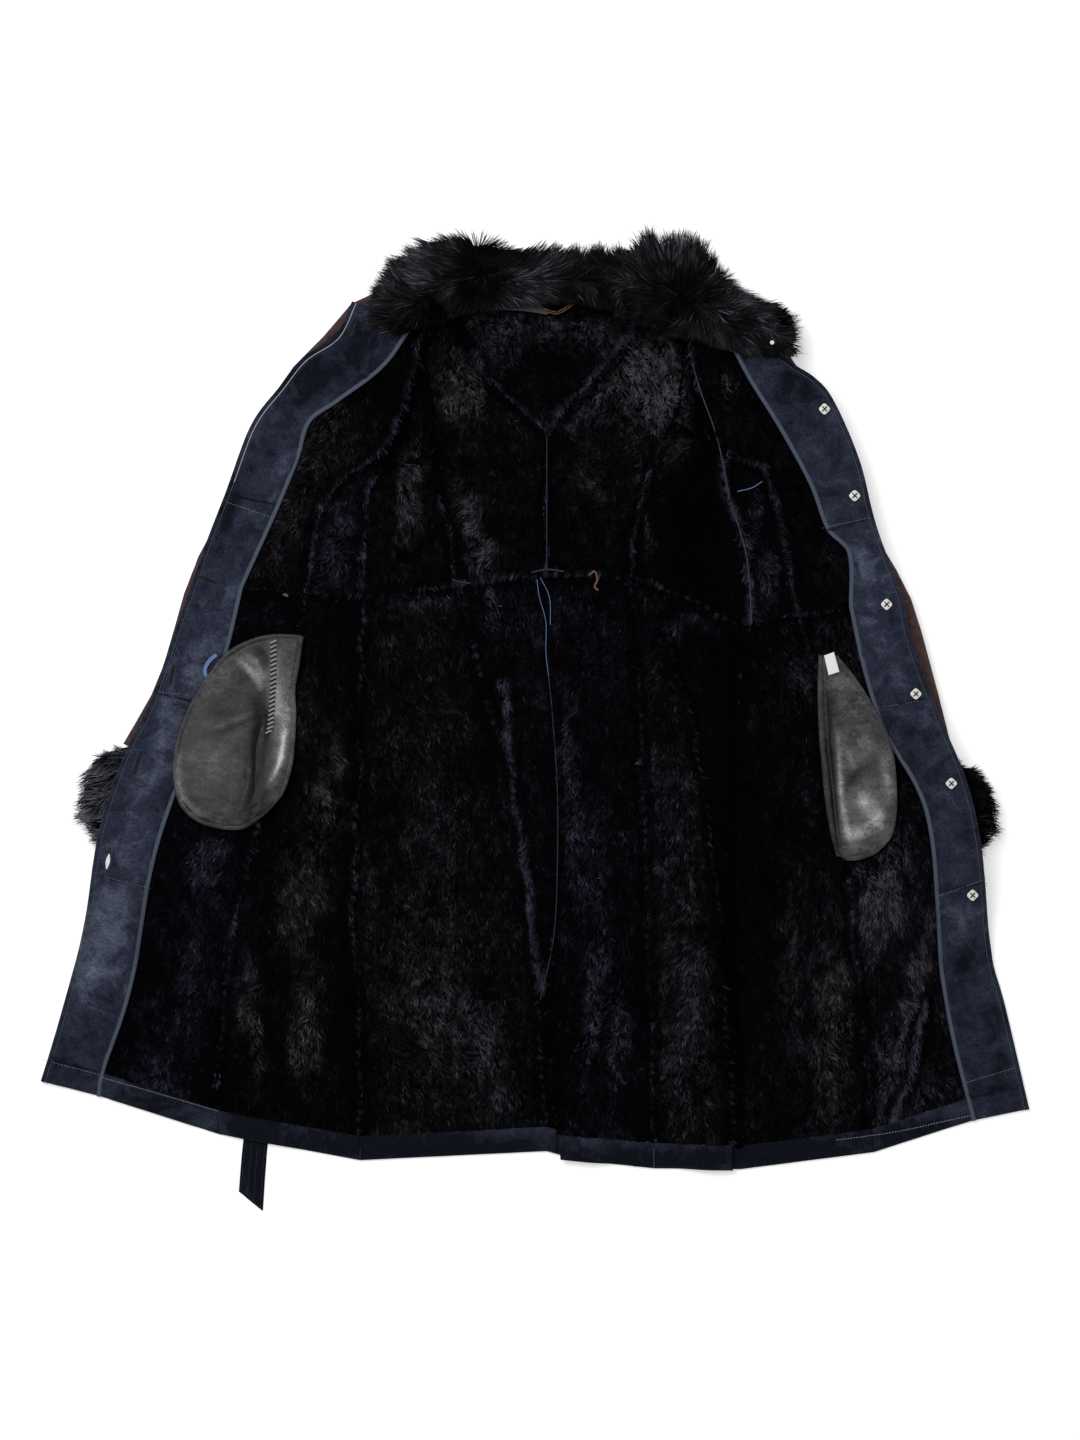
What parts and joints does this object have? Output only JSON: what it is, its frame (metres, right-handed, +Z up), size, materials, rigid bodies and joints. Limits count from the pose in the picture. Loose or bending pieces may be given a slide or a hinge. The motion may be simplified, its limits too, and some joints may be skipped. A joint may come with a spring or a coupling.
{
  "type": "sheepskin coat",
  "caption": "A sheepskin coat laid open on its back, lining up, with suede facings, long-fur collar and cuffs, leather pocket bags and a tie belt.",
  "frame": {"origin": "on the surface the coat lies on, under the middle of its outline", "axes": "+Z up from the surface, +Y from the hem toward the collar, +X to the right as seen from above"},
  "size_m": [1.0956, 1.0816, 0.0713],
  "materials": {
    "navy_shearling": "matte",
    "navy_suede": "matte",
    "brown_suede": "matte",
    "black_long_fur": "matte",
    "black_leather": "satin",
    "aged_bronze": "satin",
    "ivory_plastic": "gloss",
    "white_cloth": "matte"
  },
  "bodies": {
    "root": {"back_yoke": "navy_shearling", "backing_button_1": "ivory_plastic", "backing_button_2": "ivory_plastic", "backing_button_3": "ivory_plastic", "backing_button_4": "ivory_plastic", "backing_button_5": "ivory_plastic", "backing_button_6": "ivory_plastic", "belt": "navy_suede", "care_label": "white_cloth", "centre_back_left": "navy_shearling", "centre_back_right": "navy_shearling", "centre_back_skirt_left": "navy_shearling", "centre_back_skirt_right": "navy_shearling", "facing_left_1": "navy_suede", "facing_left_2": "navy_suede", "facing_left_3": "navy_suede", "facing_left_4": "navy_suede", "facing_right_1": "navy_suede", "facing_right_2": "navy_suede", "facing_right_3": "navy_suede", "facing_right_4": "navy_suede", "front_left": "navy_shearling", "front_right": "navy_shearling", "front_skirt_left": "navy_shearling", "front_skirt_right": "navy_shearling", "fur_collar": "black_long_fur", "fur_cuff_left": "black_long_fur", "fur_cuff_right": "black_long_fur", "hanging_chain": "aged_bronze", "hem_band_back_left": "navy_suede", "hem_band_back_right": "navy_suede", "hem_band_centre": "navy_suede", "hem_band_front_left": "navy_suede", "hem_band_front_right": "navy_suede", "hem_band_pleat": "navy_suede", "hem_band_side_left": "navy_suede", "outer_button_1": "brown_suede", "outer_button_2": "brown_suede", "outer_button_3": "brown_suede", "outer_button_4": "brown_suede", "outer_button_5": "brown_suede", "outer_button_6": "brown_suede", "pleat_skirt_right": "navy_shearling", "pocket_left_back_leaf": "black_leather", "pocket_left_front_leaf": "black_leather", "pocket_right_back_leaf": "black_leather", "pocket_right_front_leaf": "black_leather", "side_back_left": "navy_shearling", "side_back_right": "navy_shearling", "side_back_skirt_left": "navy_shearling", "side_back_skirt_right": "navy_shearling", "side_front_left": "navy_shearling", "side_front_right": "navy_shearling", "side_front_skirt_left": "navy_shearling", "side_front_skirt_right": "navy_shearling", "sleeve_left_top": "brown_suede", "sleeve_left_under": "brown_suede", "sleeve_right_top": "brown_suede", "sleeve_right_under": "brown_suede"}
  },
  "joints": []
}
